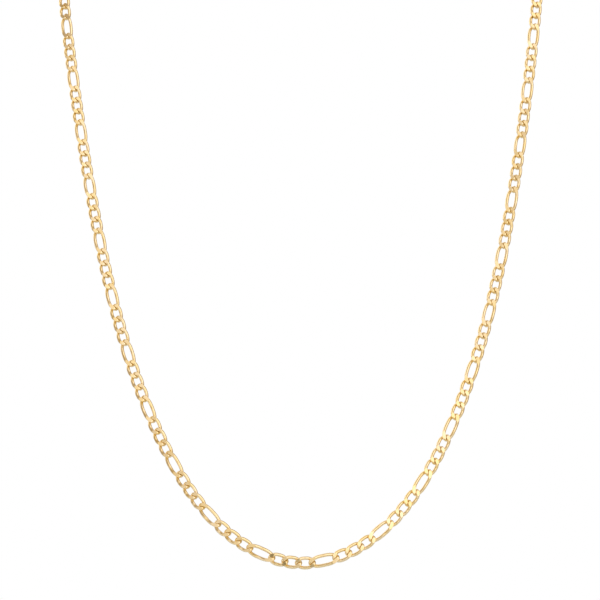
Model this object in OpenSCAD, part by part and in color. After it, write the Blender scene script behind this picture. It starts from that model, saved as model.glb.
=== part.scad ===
// Figaro chain necklace: three short curb links and then a long one, all the way round.
// It hangs as it does on a neck: +Z is up, -Y is the front and +X is the viewer's right.
// The origin is on the neck's axis, level with the clasp at the nape.

/* [Chain] */
// Groups of three short links and one long link in the whole chain
groups = 35; // [31:1:40]
// Width of every link over its two sides
link_w = 2.5; // [2.5:0.05:2.9]
// Length of a short link over its ends
short_len = 4.1; // [3.9:0.05:4.6]
// Length of a long link over its ends
long_len = 6.15; // [5.4:0.05:8]
// Thickness of the wire that the links are bent from
wire_d = 0.6; // [0.54:0.01:0.66]
// Distance between the chain's two ground faces
face_t = 1.1; // [0.95:0.05:1.5]
// Turn of each end of a link out of the chain's plane, in degrees
end_turn = 58; // [52:1:62]
// How the turn grows towards the ends: 1 is evenly, and more keeps the link's middle flat
turn_rise = 2; // [1.4:0.1:2.4]
// Fullness of a short link's corners: 2 is an ellipse and more is squarer
short_full = 2.4; // [2.2:0.1:3.2]
// Fullness of a long link's corners
long_full = 2.8; // [2.5:0.1:3.6]
// Play where one piece hooks through another
play = 0.24; // [0.2:0.01:0.3]
// How far the chain has slid round the neck, towards its left end
slid = 0.2; // [-3:0.1:3]

/* [Clasp] */
// Outer diameter of the ring at each end of the chain
ring_od = 3.5; // [3.3:0.1:4.4]
// Thickness of those rings' wire
ring_wire = 0.55; // [0.5:0.05:0.6]
// Width of the hook over its two sides
hook_w = 4.6; // [4.2:0.1:6]
// Length of the hook over its ends
hook_len = 8.2; // [6.5:0.1:11]
// Thickness of the hook's bar
hook_bar = 1.1; // [0.8:0.05:1.2]
// Outer diameter of the eye on the clasp's other end
eye_od = 2.9; // [2.8:0.1:3.6]
// Thickness of the eye's bar
eye_bar = 0.7; // [0.5:0.05:0.75]

/* [Hidden] */
gold = [0.91, 0.79, 0.5];

// Sides of a link's wire, and the length of link for each section of it on either side
wire_sides = 5;
section_step = 0.85;
// Facets of the round wire of the rings and the clasp
round_fn = 48;

// The chain's route down the right side, from the lowest point to the middle of the nape.
// A program's least-squares fit gave all x, y and z, rounded: to the photograph where the
// chain shows, and to guessed places where it is hidden. The curve is drawn towards these
// points. Each row is [x, y, z, facing, lean]: facing is the way that the chain's flat face
// looks, in degrees round from the front, and lean is how far it looks up.
route = [
    [0, -44, -150.5, 0, 10],
    [15, -42, -144.5, 3, 13],
    [25.8, -37, -131.5, 2, 17],
    [34.4, -30.5, -113, -1, 19],
    [40.5, -24, -93.5, -4, 19],
    [44.7, -18, -74.5, -6, 18],
    [48.2, -12, -56.5, -7, 17],
    [51.2, -7, -37.5, 0, 16],
    [53.8, -0.5, -19, 22, 34],
    [48.5, 12, -9, 54, 54],
    [37, 26, -2.5, 104, 62],
    [20, 37, 0, 150, 53],
    [0, 41.5, 0, 180, 38]
];
// Steps between two points of the route when its length is measured
steps_per_point = 12;

// Distances from one hooking place to the next, along each piece
short_pitch = short_len - 2 * wire_d - play;
long_pitch = long_len - 2 * wire_d - play;
group_pitch = 3 * short_pitch + long_pitch;
ring_pitch = ring_od - 2 * ring_wire - play;
clasp_pitch = hook_len - hook_bar + eye_od - 2 * eye_bar - play;

// Each group is three short links and then a long one
function is_long(i) = i % 4 == 3;

function run_before(i) = floor(i / 4) * group_pitch + (i % 4) * short_pitch;

// The whole loop's length, and how far from the lowest point each piece begins
links = round(4 * groups);
middle_link = floor(links / 2);
chain_len = run_before(links);
loop_len = chain_len + 2 * ring_pitch + clasp_pitch;
chain_start = -chain_len / 2 - slid;
chain_end = chain_start + chain_len;
clasp_start = chain_end + ring_pitch;
clasp_end = clasp_start + clasp_pitch;

// The rings cross the turned end of a link and the flat clasp at the same angle
ring_turn = 90 - end_turn / 2;

// The route is a smooth closed curve, mirrored from the right side to the left
last = len(route) - 1;

function mirrored(row, full_turn) = [-row[0], row[1], row[2], full_turn - row[3], row[4]];

function control(k) =
    k < 0 ? mirrored(route[-k], 0)
    : k > last ? mirrored(route[2 * last - k], 360)
    : route[k];

function blend(t) = [
    (1 - t) ^ 3,
    3 * t ^ 3 - 6 * t ^ 2 + 4,
    -3 * t ^ 3 + 3 * t ^ 2 + 3 * t + 1,
    t ^ 3
] / 6;

function drawn(u) =
    let (k = min(floor(u), last - 1))
    blend(u - k) * [for (j = [k - 1 : k + 2]) control(j)];

function place_of(row) = [row[0], row[1], row[2]];

// Rows of [length along the drawn route, curve value], for looking the curve value up
steps = last * steps_per_point;
step_points = [for (i = [0 : steps]) place_of(drawn(i / steps_per_point))];
step_lengths = [for (i = [1 : steps]) norm(step_points[i] - step_points[i - 1])];
route_table = [
    for (i = 0, run = 0; i <= steps; run = run + (i < steps ? step_lengths[i] : 0), i = i + 1)
        [run, i / steps_per_point]
];
route_scale = loop_len / 2 / route_table[steps][0];

// [point, facing, lean] at a distance from the lowest point, which is positive to the right
function wrapped(s) = s > loop_len / 2 ? s - loop_len : s;

function on_route(s) =
    let (
        side = wrapped(s),
        row = drawn(lookup(abs(side) / route_scale, route_table)),
        here = side < 0 ? mirrored(row, 0) : row
    )
    [place_of(here) * route_scale, here[3], here[4]];

// A piece's own frame, between its two hooking places: x runs along the chain, z looks out
// from the neck. The result is [middle, x direction, y direction, z direction].
function unit(v) = v / norm(v);

function frame(from, to) =
    let (
        a = on_route(from)[0],
        b = on_route(to)[0],
        middle = on_route((from + to) / 2),
        facing = middle[1],
        lean = middle[2],
        outward = [sin(facing) * cos(lean), -cos(facing) * cos(lean), sin(lean)],
        x = unit(b - a),
        z = unit(outward - (outward * x) * x)
    )
    [(a + b) / 2, x, cross(z, x), z];

function link_start(i) = chain_start + run_before(i);

// The wire's section has straight sides, the girth of the round wire, and a corner on the
// outside of the link
corner_r = PI * wire_d / (2 * wire_sides * sin(180 / wire_sides));

function signed_power(v, p) = sign(v) * abs(v) ^ p;

function turned(point, angle) = [
    point[0],
    point[1] * cos(angle) - point[2] * sin(angle),
    point[1] * sin(angle) + point[2] * cos(angle)
];

function ground(point) = [point[0], point[1], max(-face_t / 2, min(face_t / 2, point[2]))];

// The corners of one link: a loop of wire, turned about its length and ground flat. The
// sections stand at both sides of each tip, so that it ends in a straight stretch of wire,
// and so do the sides where no section falls on their middle.
function sections_of(length) = 2 * round(length / section_step);

function link_corners(length, full) =
    let (
        sections = sections_of(length),
        half_l = length / 2 - corner_r,
        half_w = link_w / 2 - corner_r,
        tip = cos(180 / sections) ^ (2 / full),
        side = sections % 4 == 0 ? tip : 1
    )
    [
        for (i = [0 : sections - 1])
            let (
                c = cos(360 * (i + 0.5) / sections),
                s = sin(360 * (i + 0.5) / sections),
                x = half_l * signed_power(c, 2 / full) / tip,
                y = half_w * signed_power(s, 2 / full) / side,
                out = unit([
                    signed_power(c, 2 - 2 / full) / half_l,
                    signed_power(s, 2 - 2 / full) / half_w
                ])
            )
            for (k = [0 : wire_sides - 1])
                let (
                    along = corner_r * cos(360 * k / wire_sides),
                    aside = corner_r * sin(360 * k / wire_sides)
                )
                ground(turned([x + along * out[0], y + along * out[1], aside],
                    -end_turn * signed_power(x / half_l, turn_rise)))
    ];

short_corners = link_corners(short_len, short_full);
long_corners = link_corners(long_len, long_full);

function in_frame(f, points) = [for (p = points) f[0] + p[0] * f[1] + p[1] * f[2] + p[2] * f[3]];

// Two triangles for each side of the wire between two sections
function tube_faces(sections, first) = [
    for (i = [0 : sections - 1], k = [0 : wire_sides - 1])
        let (
            a = first + i * wire_sides,
            b = first + (i + 1) % sections * wire_sides,
            n = (k + 1) % wire_sides
        )
        each [[a + k, b + n, b + k], [a + k, a + n, b + n]]
];

// How many corners all links before link i have
short_count = len(short_corners);
long_count = len(long_corners);

function corners_before(i) = floor(i / 4) * (3 * short_count + long_count) + (i % 4) * short_count;

// A run of links, each hooked through the next and clear of it by the play
module chain(first, past) {
    points = [
        for (i = [first : past - 1])
            each in_frame(frame(link_start(i), link_start(i + 1)),
                is_long(i) ? long_corners : short_corners)
    ];
    faces = [
        for (i = [first : past - 1])
            each tube_faces(sections_of(is_long(i) ? long_len : short_len),
                corners_before(i) - corners_before(first))
    ];
    color(gold) polyhedron(points = points, faces = faces);
}

// Puts a piece that is drawn along x, with its middle at the origin, on the route
module between(from, to) {
    f = frame(from, to);
    multmatrix([
        [f[1][0], f[2][0], f[3][0], f[0][0]],
        [f[1][1], f[2][1], f[3][1], f[0][1]],
        [f[1][2], f[2][2], f[3][2], f[0][2]]
    ])
        children();
}

// A bend of round wire about the z axis
module wire_bend(outer_d, wire, sweep = 360) {
    rotate_extrude(angle = sweep, $fn = round_fn)
        translate([(outer_d - wire) / 2, 0])
            circle(d = wire, $fn = round_fn);
}

module end_ring(turn) {
    color(gold) rotate([turn, 0, 0]) wire_bend(ring_od, ring_wire);
}

// A long closed loop of bar, with a round eye on the end that it begins with
module clasp_body() {
    straight = hook_len - hook_w;
    reach = (hook_w - hook_bar) / 2;
    // The hook's far inner face ends the piece's pitch
    hook_x = (clasp_pitch + play) / 2 + hook_bar - hook_len / 2;
    color(gold) union() {
        for (side = [-1, 1]) {
            translate([hook_x + side * straight / 2, 0, 0])
                rotate([0, 0, -side * 90])
                    wire_bend(hook_w, hook_bar, 180);
            translate([hook_x, side * reach, 0])
                rotate([0, 90, 0])
                    cylinder(h = straight, d = hook_bar, center = true, $fn = round_fn);
        }
        translate([hook_x - hook_len / 2 + eye_bar - eye_od / 2, 0, 0])
            wire_bend(eye_od, eye_bar);
    }
}

module chain_left() {
    chain(0, middle_link);
}

module chain_right() {
    chain(middle_link, links);
}

module ring_right() {
    between(chain_end, clasp_start) end_ring(ring_turn);
}

module clasp() {
    between(clasp_start, clasp_end) clasp_body();
}

module ring_left() {
    between(clasp_end, chain_start + loop_len) end_ring(-ring_turn);
}

chain_left();
chain_right();
ring_left();
clasp();
ring_right();
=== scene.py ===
import math

import bpy
import numpy as np
from mathutils import Matrix, Vector


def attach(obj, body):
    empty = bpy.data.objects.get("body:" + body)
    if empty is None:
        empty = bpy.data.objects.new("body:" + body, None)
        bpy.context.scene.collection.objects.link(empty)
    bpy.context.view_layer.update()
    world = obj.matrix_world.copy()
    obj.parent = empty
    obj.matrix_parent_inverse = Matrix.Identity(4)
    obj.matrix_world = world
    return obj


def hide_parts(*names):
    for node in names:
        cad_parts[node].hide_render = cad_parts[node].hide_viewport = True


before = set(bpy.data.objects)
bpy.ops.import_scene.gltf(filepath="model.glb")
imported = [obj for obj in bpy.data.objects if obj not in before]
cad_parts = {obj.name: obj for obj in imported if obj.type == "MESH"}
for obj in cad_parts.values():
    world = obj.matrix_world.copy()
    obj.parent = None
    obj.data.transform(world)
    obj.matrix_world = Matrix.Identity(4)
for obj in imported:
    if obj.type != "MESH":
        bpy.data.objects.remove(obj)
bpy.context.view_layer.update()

MM = 0.001

# Sizes of the chain and its closure
GROUPS = 35
LINK_W = 2.5
SHORT_LEN = 4.1
LONG_LEN = 6.15
WIRE = 0.6
FACE_T = 1.1
END_TURN = 58
TURN_RISE = 2
SHORT_FULL = 2.4
LONG_FULL = 2.8
PLAY = 0.24
SLID = 0.2
RING_OD = 3.5
RING_WIRE = 0.55
HOOK_LEN = 8.2
HOOK_BAR = 1.1
EYE_OD = 2.9
EYE_BAR = 0.7

# Control points of the route down the right side: [x, y, z, facing, lean]. A program's
# least-squares fit gave all x, y and z, rounded: to the photograph where the chain shows, and
# to guessed places where it is hidden.
ROUTE = np.array([
    [0, -44, -150.5, 0, 10],
    [15, -42, -144.5, 3, 13],
    [25.8, -37, -131.5, 2, 17],
    [34.4, -30.5, -113, -1, 19],
    [40.5, -24, -93.5, -4, 19],
    [44.7, -18, -74.5, -6, 18],
    [48.2, -12, -56.5, -7, 17],
    [51.2, -7, -37.5, 0, 16],
    [53.8, -0.5, -19, 22, 34],
    [48.5, 12, -9, 54, 54],
    [37, 26, -2.5, 104, 62],
    [20, 37, 0, 150, 53],
    [0, 41.5, 0, 180, 38],
])
LAST = len(ROUTE) - 1
STEPS_PER_POINT = 12

# Each group is three short links and then a long one
SHORT_LINKS = 3
GROUP_LINKS = SHORT_LINKS + 1
LINKS = GROUP_LINKS * GROUPS

# Distances from one hooking place to the next
SHORT_PITCH = SHORT_LEN - 2 * WIRE - PLAY
LONG_PITCH = LONG_LEN - 2 * WIRE - PLAY
GROUP_PITCH = SHORT_LINKS * SHORT_PITCH + LONG_PITCH
RING_PITCH = RING_OD - 2 * RING_WIRE - PLAY
CLASP_PITCH = HOOK_LEN - HOOK_BAR + EYE_OD - 2 * EYE_BAR - PLAY
CHAIN_LEN = GROUPS * GROUP_PITCH
LOOP_LEN = CHAIN_LEN + 2 * RING_PITCH + CLASP_PITCH
CHAIN_START = -CHAIN_LEN / 2 - SLID

# The wire as it looks: a little thinner along a link's sides than at its ends, where it
# closes the play that the CAD solids keep between them. It thickens from the first of these
# shares of the way from a link's middle to its end, over a stretch of the second.
WIRE_SIDE = 0.66
WIRE_END = 0.72
THICKENS_FROM = 0.45
THICKENS_OVER = 0.5

# How finely the links are meshed: stations round a link, and points of the wire's section
# on each round side and on each ground face
SHORT_STATIONS = 58
LONG_STATIONS = 78
ARC_POINTS = 8
FLAT_POINTS = 3
SIDES = 2 * (ARC_POINTS + FLAT_POINTS)
# Sides of the section at which the front face (0) and the back face (1) begin and end
RIMS = {0: 0, FLAT_POINTS: 0, FLAT_POINTS + ARC_POINTS: 1, 2 * FLAT_POINTS + ARC_POINTS: 1}

# Stations stand closer where the wire bends. Its line is measured in this many steps, and
# each step's bend, in radians and up to the limit, counts beside its length by the weight.
LINE_STEPS = 2880
BEND_WEIGHT = 0.9
BEND_LIMIT = 0.2
# Least length that a step is divided by, and the change of angle, in radians either way, over
# which a station takes the wire's direction
LEAST_STEP = 1e-9
NUDGE = 1e-4

# A ground face's half width, in degrees round the wire's section: the least that the mesh
# keeps for it where the wire doesn't reach it, and the width from which its rims are sharp
LEAST_FACE = 7
RIM_FROM = 16

# Each link sits a little askew in the next, by up to this many degrees about its length
ASKEW = 3.0
SEED = 7


def mirrored(row, full_turn):
    return np.array([-row[0], row[1], row[2], full_turn - row[3], row[4]])


def control(k):
    """Control point k, taken from the other side of the loop past either end."""
    if k < 0:
        return mirrored(ROUTE[-k], 0)
    if k > LAST:
        return mirrored(ROUTE[2 * LAST - k], 360)
    return ROUTE[k]


def drawn(u):
    """The route's B-spline at u, which runs from 0 to LAST."""
    k = min(int(math.floor(u)), LAST - 1)
    t = u - k
    weights = (
        (1 - t) ** 3,
        3 * t**3 - 6 * t**2 + 4,
        -3 * t**3 + 3 * t**2 + 3 * t + 1,
        t**3,
    )
    return sum(w * control(k - 1 + j) for j, w in enumerate(weights)) / 6


def measure_route():
    """Lengths along the drawn route at even steps, and the curve values there."""
    values = np.arange(LAST * STEPS_PER_POINT + 1) / STEPS_PER_POINT
    points = np.array([drawn(u)[:3] for u in values])
    lengths = np.linalg.norm(np.diff(points, axis=0), axis=1)
    return np.concatenate([[0], np.cumsum(lengths)]), values


RUN, VALUES = measure_route()
ROUTE_SCALE = LOOP_LEN / 2 / RUN[-1]


def on_route(s):
    """Point, facing and lean at a distance from the lowest point, positive to the right."""
    side = s - LOOP_LEN if s > LOOP_LEN / 2 else s
    row = drawn(np.interp(abs(side) / ROUTE_SCALE, RUN, VALUES))
    here = mirrored(row, 0) if side < 0 else row
    return here[:3] * ROUTE_SCALE, math.radians(here[3]), math.radians(here[4])


def unit(v):
    return v / np.linalg.norm(v)


def link_frame(start, end):
    """Middle and axes of a link: x along the chain, z out of its face."""
    a = on_route(start)[0]
    b = on_route(end)[0]
    _, facing, lean = on_route((start + end) / 2)
    outward = np.array([
        math.sin(facing) * math.cos(lean),
        -math.cos(facing) * math.cos(lean),
        math.sin(lean),
    ])
    x = unit(b - a)
    z = unit(outward - (outward @ x) * x)
    return (a + b) / 2, x, np.cross(z, x), z


def is_long(i):
    return i % GROUP_LINKS == SHORT_LINKS


def link_start(i):
    return CHAIN_START + (i // GROUP_LINKS) * GROUP_PITCH + (i % GROUP_LINKS) * SHORT_PITCH


def signed_power(v, p):
    return np.sign(v) * np.abs(v) ** p


def wire_line(t, half_l, half_w, full):
    """Middle of the link's wire at angle t: a full oval, its ends turned about its length."""
    x = half_l * signed_power(np.cos(t), 2 / full)
    h = half_w * signed_power(np.sin(t), 2 / full)
    turn = -math.radians(END_TURN) * signed_power(x / half_l, TURN_RISE)
    return np.stack([x, h * np.cos(turn), h * np.sin(turn)], axis=-1)


def station_angles(half_l, half_w, full, count):
    """Angles of evenly weighted stations: both length and bending of the wire count."""
    t = np.linspace(0, 2 * math.pi, LINE_STEPS + 1)
    p = wire_line(t, half_l, half_w, full)
    step = np.diff(p, axis=0)
    length = np.linalg.norm(step, axis=1)
    heading = step / np.maximum(length, LEAST_STEP)[:, None]
    bend = np.arccos(np.clip((heading * np.roll(heading, 1, axis=0)).sum(1), -1, 1))
    weight = np.cumsum(length + BEND_WEIGHT * half_w * np.minimum(bend, BEND_LIMIT))
    at = (np.arange(count) + 0.5) / count * weight[-1]
    return np.interp(at, np.concatenate([[0], weight]), t)


def wire_radius(share):
    """Radius of the wire at a share of the way from a link's middle to its end."""
    ease = min(max((share - THICKENS_FROM) / THICKENS_OVER, 0), 1)
    ease = ease * ease * (3 - 2 * ease)
    return (WIRE_SIDE + (WIRE_END - WIRE_SIDE) * ease) / 2


def section(face_front, face_back):
    """One section of the wire on a unit circle, cut at two heights, and its face widths."""
    least = math.radians(LEAST_FACE)
    front = max(math.acos(np.clip(face_front, -1, 1)), least)
    back = min(math.acos(np.clip(face_back, -1, 1)), math.pi - least)
    points = []
    for k in range(FLAT_POINTS):
        v = math.sin(front) * (2 * k / FLAT_POINTS - 1)
        points.append((min(face_front, math.sqrt(1 - v * v)), v))
    for k in range(ARC_POINTS):
        angle = front + (back - front) * k / ARC_POINTS
        points.append((math.cos(angle), math.sin(angle)))
    for k in range(FLAT_POINTS):
        v = math.sin(back) * (1 - 2 * k / FLAT_POINTS)
        points.append((max(face_back, -math.sqrt(1 - v * v)), v))
    for k in range(ARC_POINTS):
        angle = -back + (back - front) * k / ARC_POINTS
        points.append((math.cos(angle), math.sin(angle)))
    return points, front, math.pi - back


def link_mesh(length, full, count):
    """Points of one link in its own frame, [station, side, xyz], and its face widths."""
    half_l = (length - WIRE_END) / 2
    half_w = (LINK_W - WIRE_SIDE) / 2
    rings = np.zeros((count, SIDES, 3))
    widths = np.zeros((count, 2))
    for i, t in enumerate(station_angles(half_l, half_w, full, count)):
        before, middle, after = (
            wire_line(angle, half_l, half_w, full) for angle in (t - NUDGE, t, t + NUDGE))
        along = unit(after - before)
        up = unit(np.array([0, 0, 1.0]) - along[2] * along)
        across = np.cross(along, up)
        radius = wire_radius(abs(middle[0]) / half_l)
        reach = radius * up[2]
        points, front, back = section(
            (FACE_T / 2 - middle[2]) / reach, (-FACE_T / 2 - middle[2]) / reach)
        for j, (u, v) in enumerate(points):
            rings[i, j] = middle + radius * (u * up + v * across)
        widths[i] = front, back
    return rings, widths


LINK_SHAPES = {
    False: link_mesh(SHORT_LEN, SHORT_FULL, SHORT_STATIONS),
    True: link_mesh(LONG_LEN, LONG_FULL, LONG_STATIONS),
}


def link_faces(count, first):
    """Quads of one link, with their corners anticlockwise seen from outside."""
    i = np.arange(count)[:, None]
    j = np.arange(SIDES)[None, :]
    a = i * SIDES + j
    b = (i + 1) % count * SIDES + j
    c = (i + 1) % count * SIDES + (j + 1) % SIDES
    d = i * SIDES + (j + 1) % SIDES
    return (np.stack([a, d, c, b], axis=-1) + first).reshape(-1, 4)


def sharp_pairs(widths, first):
    """Vertex pairs along the rims of the ground faces, where a face is wide enough."""
    count = len(widths)
    wide = widths > math.radians(RIM_FROM)
    pairs = []
    for side, face in RIMS.items():
        for i in range(count):
            n = (i + 1) % count
            if wide[i, face] and wide[n, face]:
                pairs.append((first + i * SIDES + side, first + n * SIDES + side))
    return pairs


def mark_sharp(mesh, pairs):
    """Marks the edges between these pairs of vertices, whichever way round they are."""
    ends = np.zeros(2 * len(mesh.edges), dtype=np.int64)
    mesh.edges.foreach_get("vertices", ends)
    both = pairs | {(b, a) for a, b in pairs}
    flags = [(int(a), int(b)) in both for a, b in ends.reshape(-1, 2)]
    mesh.edges.foreach_set("use_edge_sharp", flags)


def add_object(name, data):
    made = bpy.data.objects.new(name, data)
    bpy.context.scene.collection.objects.link(made)
    return made


def chain_piece(name, first, past, material):
    """Links first to past-1 as one object. Every link is a closed ring of wire."""
    rng = np.random.default_rng(SEED + first)
    points, faces, sharp = [], [], set()
    base = 0
    for i in range(first, past):
        rings, widths = LINK_SHAPES[is_long(i)]
        middle, x, y, z = link_frame(link_start(i), link_start(i + 1))
        tilt = math.radians(ASKEW) * rng.uniform(-1, 1)
        y, z = y * math.cos(tilt) + z * math.sin(tilt), z * math.cos(tilt) - y * math.sin(tilt)
        points.append((rings.reshape(-1, 3) @ np.array([x, y, z]) + middle) * MM)
        faces.append(link_faces(len(rings), base))
        sharp.update(sharp_pairs(widths, base))
        base += len(rings) * SIDES
    mesh = bpy.data.meshes.new(name)
    mesh.from_pydata(np.concatenate(points).tolist(), [], np.concatenate(faces).tolist())
    mesh.update(calc_edges=True)
    mesh.polygons.foreach_set("use_smooth", [True] * len(mesh.polygons))
    mark_sharp(mesh, sharp)
    mesh.materials.append(material)
    return add_object(name, mesh)


def node(tree, kind, **values):
    """A new shader node with these settings of its own."""
    made = tree.nodes.new(kind)
    for key, value in values.items():
        setattr(made, key, value)
    return made


def noise(tree, scale, detail=2):
    made = node(tree, "ShaderNodeTexNoise")
    made.inputs["Scale"].default_value = scale
    made.inputs["Detail"].default_value = detail
    return made


def toned(tree, texture, *ends):
    """Colour output of a ramp over a texture. Each end is (position, colour)."""
    ramp = node(tree, "ShaderNodeValToRGB")
    for element, (position, color) in zip(ramp.color_ramp.elements, ends):
        element.position = position
        element.color = color
    tree.links.new(texture.outputs["Fac"], ramp.inputs["Fac"])
    return ramp.outputs["Color"]


# The gold's tone, in patches between a warmer and a paler gold. Scales are per metre.
WARM_GOLD = (0.35, (0.945, 0.76, 0.4, 1))
PALE_GOLD = (0.65, (0.965, 0.825, 0.565, 1))
TONE_SCALE = 500
# Its polish, in finer patches: the noise that they span, and the roughness at either end
POLISH_SPAN = (0.3, 0.7)
POLISH_ROUGH = (0.12, 0.2)
POLISH_SCALE = 900
POLISH_DETAIL = 3
# Its surface, with the shallow waves that polishing leaves on drawn wire
WAVE_SCALE = 1500
WAVE_STRENGTH = 0.12
WAVE_DEPTH = 0.00004


def gold_material(name):
    """Polished yellow gold: a faint unevenness of tone, of polish and of surface."""
    material = bpy.data.materials.new(name)
    material.use_nodes = True
    tree = material.node_tree
    link = tree.links.new
    shader = tree.nodes["Principled BSDF"]
    shader.inputs["Metallic"].default_value = 1.0

    patches = noise(tree, TONE_SCALE)
    polish = noise(tree, POLISH_SCALE, POLISH_DETAIL)
    waves = noise(tree, WAVE_SCALE)
    place = node(tree, "ShaderNodeTexCoord")
    for texture in (patches, polish, waves):
        link(place.outputs["Object"], texture.inputs["Vector"])

    link(toned(tree, patches, WARM_GOLD, PALE_GOLD), shader.inputs["Base Color"])

    gloss = node(tree, "ShaderNodeMapRange")
    limits = ("From Min", "From Max", "To Min", "To Max")
    for limit, value in zip(limits, POLISH_SPAN + POLISH_ROUGH):
        gloss.inputs[limit].default_value = value
    link(polish.outputs["Fac"], gloss.inputs["Value"])
    link(gloss.outputs["Result"], shader.inputs["Roughness"])

    bump = node(tree, "ShaderNodeBump")
    bump.inputs["Strength"].default_value = WAVE_STRENGTH
    bump.inputs["Distance"].default_value = WAVE_DEPTH
    link(waves.outputs["Fac"], bump.inputs["Height"])
    link(bump.outputs["Normal"], shader.inputs["Normal"])
    return material


def dress_closure(material):
    """The rings and the clasp keep their CAD solids, in the same gold."""
    for name in ("ring_left", "clasp", "ring_right"):
        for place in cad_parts[name].material_slots:
            place.material = material


def make_chain(material):
    """Both halves of the chain, each in the place of its CAD node."""
    half = LINKS // 2
    for name, dressed, first, past in (
            ("chain_left", "links_left", 0, half),
            ("chain_right", "links_right", half, LINKS)):
        piece = chain_piece(dressed, first, past, material)
        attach(piece, "root")
        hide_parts(name)


# The camera stands in front of the chain at mid height and looks level, turned a little to
# the left and rolled a little, both in degrees. Its place, lens and sensor are in millimetres.
# It was fitted by a program, with the route, to 88 places in the photograph where links meet.
CAMERA_AT = (9.0, -337.3, -96.9)
CAMERA_YAW = 1.75
CAMERA_ROLL = -1.05
CAMERA_LENS = 91.1
CAMERA_SENSOR = 36
# Nearest and farthest that it sees, in metres
CAMERA_CLIP = (0.01, 20)


def make_camera():
    data = bpy.data.cameras.new("camera")
    data.sensor_width = CAMERA_SENSOR
    data.lens = CAMERA_LENS
    data.clip_start, data.clip_end = CAMERA_CLIP
    yaw, roll = math.radians(CAMERA_YAW), math.radians(CAMERA_ROLL)
    ahead = Vector((-math.sin(yaw), math.cos(yaw), 0))
    level = Vector((math.cos(yaw), math.sin(yaw), 0))
    up = Vector((0, 0, 1))
    right = level * math.cos(roll) + up * math.sin(roll)
    above = up * math.cos(roll) - level * math.sin(roll)
    turn = Matrix((right, above, -ahead)).transposed().to_4x4()
    camera = add_object("camera", data)
    camera.matrix_world = Matrix.Translation(Vector(CAMERA_AT) * MM) @ turn
    bpy.context.scene.camera = camera


# The studio that the gold mirrors: large soft panels, each (direction, brightness), in a
# dimmer room. A spread is the share of the sphere's radius that a panel fades over.
ROOM = (0.47, 0.365, 0.25, 1)
PANELS = (
    ((1.0, -1.0, 1.0), 0.78),
    ((-1.0, 1.0, 1.0), 0.86),
    ((0.0, -1.0, 0.0), 0.45),
    ((-1.0, -1.0, -1.0), 0.65),
)
PANEL_SPREAD = 0.42
# The dim place in front, beside the camera, that some of the lowest links mirror
DIM = (0.26, 0.22, 0.14, 1)
DIM_AT = (-0.15, -1.0, 0.12)
DIM_SPREAD = 0.03
WHITE = (1, 1, 1, 1)


def panel_share(tree, direction, spread):
    """Node output: 1 in the panel's middle, fading to 0 at its edge."""
    place = node(tree, "ShaderNodeTexCoord")
    dot = node(tree, "ShaderNodeVectorMath", operation="DOT_PRODUCT")
    dot.inputs[1].default_value = Vector(direction).normalized()
    fade = node(tree, "ShaderNodeMapRange", interpolation_type="SMOOTHSTEP")
    fade.inputs["From Min"].default_value = 1 - spread
    fade.inputs["From Max"].default_value = 1
    tree.links.new(place.outputs["Generated"], dot.inputs[0])
    tree.links.new(dot.outputs["Value"], fade.inputs["Value"])
    return fade.outputs["Result"]


def background(tree, color):
    made = node(tree, "ShaderNodeBackground")
    made.inputs["Color"].default_value = color
    return made


def mixed(tree, share, first, second):
    """Shader output: the first where the share is 0, and the second where it is 1."""
    mix = node(tree, "ShaderNodeMixShader")
    tree.links.new(share, mix.inputs["Fac"])
    tree.links.new(first, mix.inputs[1])
    tree.links.new(second, mix.inputs[2])
    return mix.outputs["Shader"]


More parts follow.
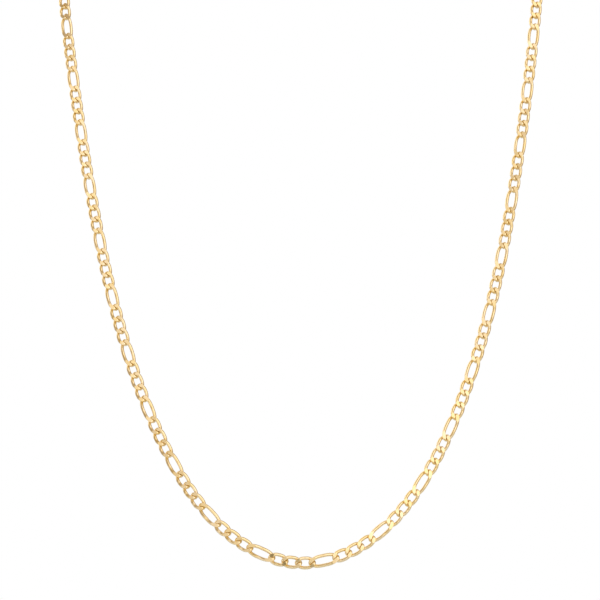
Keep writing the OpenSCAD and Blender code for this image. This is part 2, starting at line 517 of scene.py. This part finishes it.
def make_world():
    """White behind the object for the camera. Every other ray meets the studio."""
    world = bpy.data.worlds.new("studio")
    bpy.context.scene.world = world
    world.use_nodes = True
    tree = world.node_tree
    tree.nodes.clear()
    link = tree.links.new
    studio = background(tree, ROOM).outputs["Background"]
    for direction, brightness in PANELS:
        scaled = node(tree, "ShaderNodeMath", operation="MULTIPLY")
        scaled.inputs[1].default_value = brightness
        panel = background(tree, WHITE)
        both = node(tree, "ShaderNodeAddShader")
        link(panel_share(tree, direction, PANEL_SPREAD), scaled.inputs[0])
        link(scaled.outputs["Value"], panel.inputs["Strength"])
        link(studio, both.inputs[0])
        link(panel.outputs["Background"], both.inputs[1])
        studio = both.outputs["Shader"]
    dim = background(tree, DIM).outputs["Background"]
    studio = mixed(tree, panel_share(tree, DIM_AT, DIM_SPREAD), studio, dim)
    white = background(tree, WHITE).outputs["Background"]
    rays = node(tree, "ShaderNodeLightPath")
    seen = mixed(tree, rays.outputs["Is Camera Ray"], studio, white)
    link(seen, node(tree, "ShaderNodeOutputWorld").inputs["Surface"])


# The soft light: a square lamp, in metres and watts, and the point that it looks at
KEY_AT = (0.7, -0.8, 0.6)
KEY_AIM = (0, -0.01, -0.09)
KEY_SIZE = 0.9
KEY_WATTS = 0.2


def make_light():
    data = bpy.data.lights.new("key", "AREA")
    data.shape = "SQUARE"
    data.size = KEY_SIZE
    data.energy = KEY_WATTS
    lamp = add_object("key", data)
    aim = Vector(KEY_AIM) - Vector(KEY_AT)
    lamp.rotation_euler = aim.to_track_quat("-Z", "Y").to_euler()
    lamp.location = KEY_AT


# The floor: half its width and its height in metres, and its paper's grain
FLOOR_HALF = 0.5
FLOOR_LEVEL = -0.3
FLOOR_TONES = ((0, (0.78, 0.86, 0.93, 1)), (1, (0.82, 0.89, 0.96, 1)))
FLOOR_GRAIN = 400
FLOOR_ROUGH = 0.9


def make_floor():
    """A plain pale floor, below what the camera sees."""
    corners = [(FLOOR_HALF * x, FLOOR_HALF * y, FLOOR_LEVEL)
               for x, y in ((-1, -1), (1, -1), (1, 1), (-1, 1))]
    mesh = bpy.data.meshes.new("floor")
    mesh.from_pydata(corners, [], [(0, 1, 2, 3)])
    material = bpy.data.materials.new("floor_paper")
    material.use_nodes = True
    tree = material.node_tree
    shader = tree.nodes["Principled BSDF"]
    shader.inputs["Roughness"].default_value = FLOOR_ROUGH
    color = toned(tree, noise(tree, FLOOR_GRAIN), *FLOOR_TONES)
    tree.links.new(color, shader.inputs["Base Color"])
    mesh.materials.append(material)
    floor = add_object("floor", mesh)


def main():
    make_camera()
    make_world()
    make_light()
    make_floor()
    gold = gold_material("gold")
    make_chain(gold)
    dress_closure(gold)
    bpy.context.scene.view_settings.view_transform = "Standard"
    bpy.context.view_layer.update()


main()
